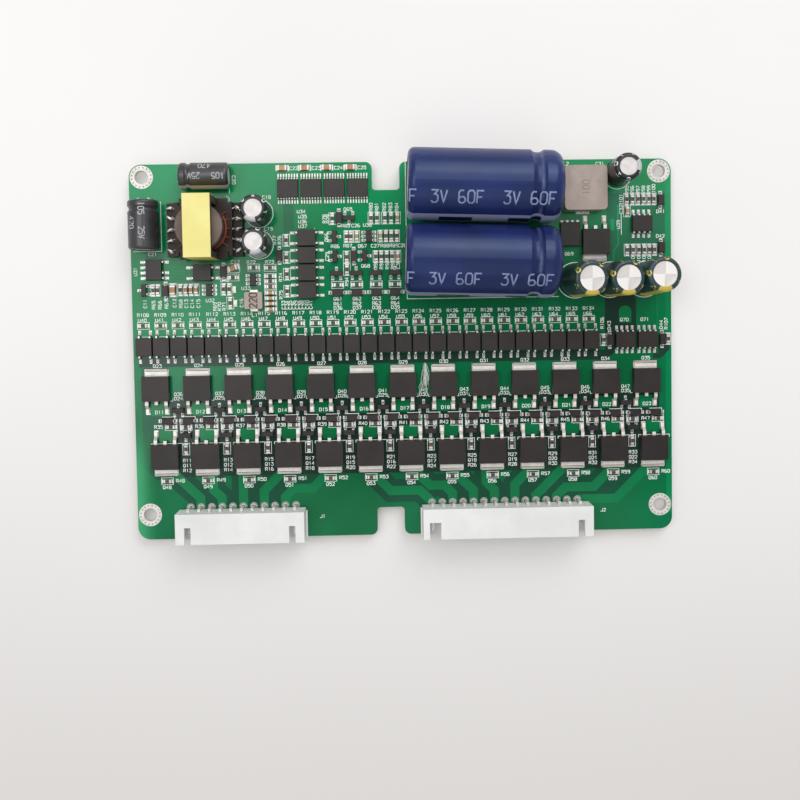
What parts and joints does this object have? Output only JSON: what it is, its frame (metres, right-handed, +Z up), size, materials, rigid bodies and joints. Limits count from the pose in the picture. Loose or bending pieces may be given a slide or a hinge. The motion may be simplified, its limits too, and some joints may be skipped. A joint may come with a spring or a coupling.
{
  "type": "active balancer board",
  "caption": "Populated green circuit board that evens out battery cells: side-entry headers, lying storage capacitors, transformer, transistor and optocoupler rows.",
  "frame": {"origin": "centre of the four mounting holes, on the underside of the board", "axes": "+X along the board's long side with the longer header at the right, +Y from the headers' edge to the opposite edge, +Z up out of the populated face"},
  "size_m": [0.13, 0.0918, 0.0198],
  "materials": {
    "board_laminate": "green solder mask over glass laminate",
    "plated_pads": "tin-plated copper",
    "header_nylon": "white moulded nylon",
    "tinned_metal": "matt tin plating",
    "solder": "bright solder",
    "can_aluminium": "drawn aluminium",
    "storage_sleeve": "navy blue shrink sleeve",
    "output_sleeve": "dark teal shrink sleeve",
    "small_sleeve": "black shrink sleeve",
    "seal_rubber": "black rubber",
    "bobbin_plastic": "black moulded bobbin",
    "copper_wire": "enamelled copper wire under grey tape",
    "ferrite": "dark grey ferrite",
    "yellow_tape": "yellow polyester tape",
    "pressed_powder": "grey-beige pressed powder",
    "moulding_compound": "dark warm-grey epoxy",
    "chip_ceramic": "dark resistor film or tan ceramic",
    "indicator_resin": "milky resin"
  },
  "bodies": {
    "root": {"pcb": "board_laminate", "mounting_rings": "plated_pads", "header_a_housing": "header_nylon", "header_b_housing": "header_nylon", "header_a_pins": "tinned_metal", "header_b_pins": "tinned_metal", "transformer_bobbin": "bobbin_plastic", "transformer_winding": "copper_wire", "transformer_upper_core": "ferrite", "transformer_lower_core": "ferrite", "transformer_tape": "yellow_tape", "transformer_pins": "tinned_metal", "power_inductor_body": "pressed_powder", "small_inductor_body": "pressed_powder", "power_inductor_terminals": "tinned_metal", "small_inductor_terminals": "tinned_metal", "chip_bodies": "chip_ceramic", "indicator_chips": "indicator_resin", "solder_joints": "solder", "storage_cap_1_can": "can_aluminium", "storage_cap_1_sleeve": "storage_sleeve", "storage_cap_1_seal": "seal_rubber", "storage_cap_1_leads": "tinned_metal", "storage_cap_2_can": "can_aluminium", "storage_cap_2_sleeve": "storage_sleeve", "storage_cap_2_seal": "seal_rubber", "storage_cap_2_leads": "tinned_metal", "output_cap_cans": "can_aluminium", "output_cap_sleeves": "output_sleeve", "output_cap_seals": "seal_rubber", "output_cap_leads": "tinned_metal", "upright_cap_cans": "can_aluminium", "upright_cap_sleeves": "small_sleeve", "upright_cap_seals": "seal_rubber", "upright_cap_leads": "tinned_metal", "lying_cap_cans": "can_aluminium", "lying_cap_sleeves": "small_sleeve", "lying_cap_seals": "seal_rubber", "lying_cap_leads": "tinned_metal", "upper_transistor_bodies": "moulding_compound", "upper_transistor_frames": "tinned_metal", "lower_transistor_bodies": "moulding_compound", "lower_transistor_frames": "tinned_metal", "switch_transistor_body": "moulding_compound", "switch_transistor_frame": "tinned_metal", "flat_transistor_body": "moulding_compound", "flat_transistor_leads": "tinned_metal", "optocoupler_bodies": "moulding_compound", "optocoupler_leads": "tinned_metal", "isolator_bodies": "moulding_compound", "isolator_leads": "tinned_metal", "logic_bodies": "moulding_compound", "logic_leads": "tinned_metal", "small_outline_bodies": "moulding_compound", "small_outline_leads": "tinned_metal", "small_transistor_bodies": "moulding_compound", "small_transistor_leads": "tinned_metal", "diode_bodies": "moulding_compound", "diode_leads": "tinned_metal", "chip_ends": "tinned_metal"}
  },
  "joints": []
}
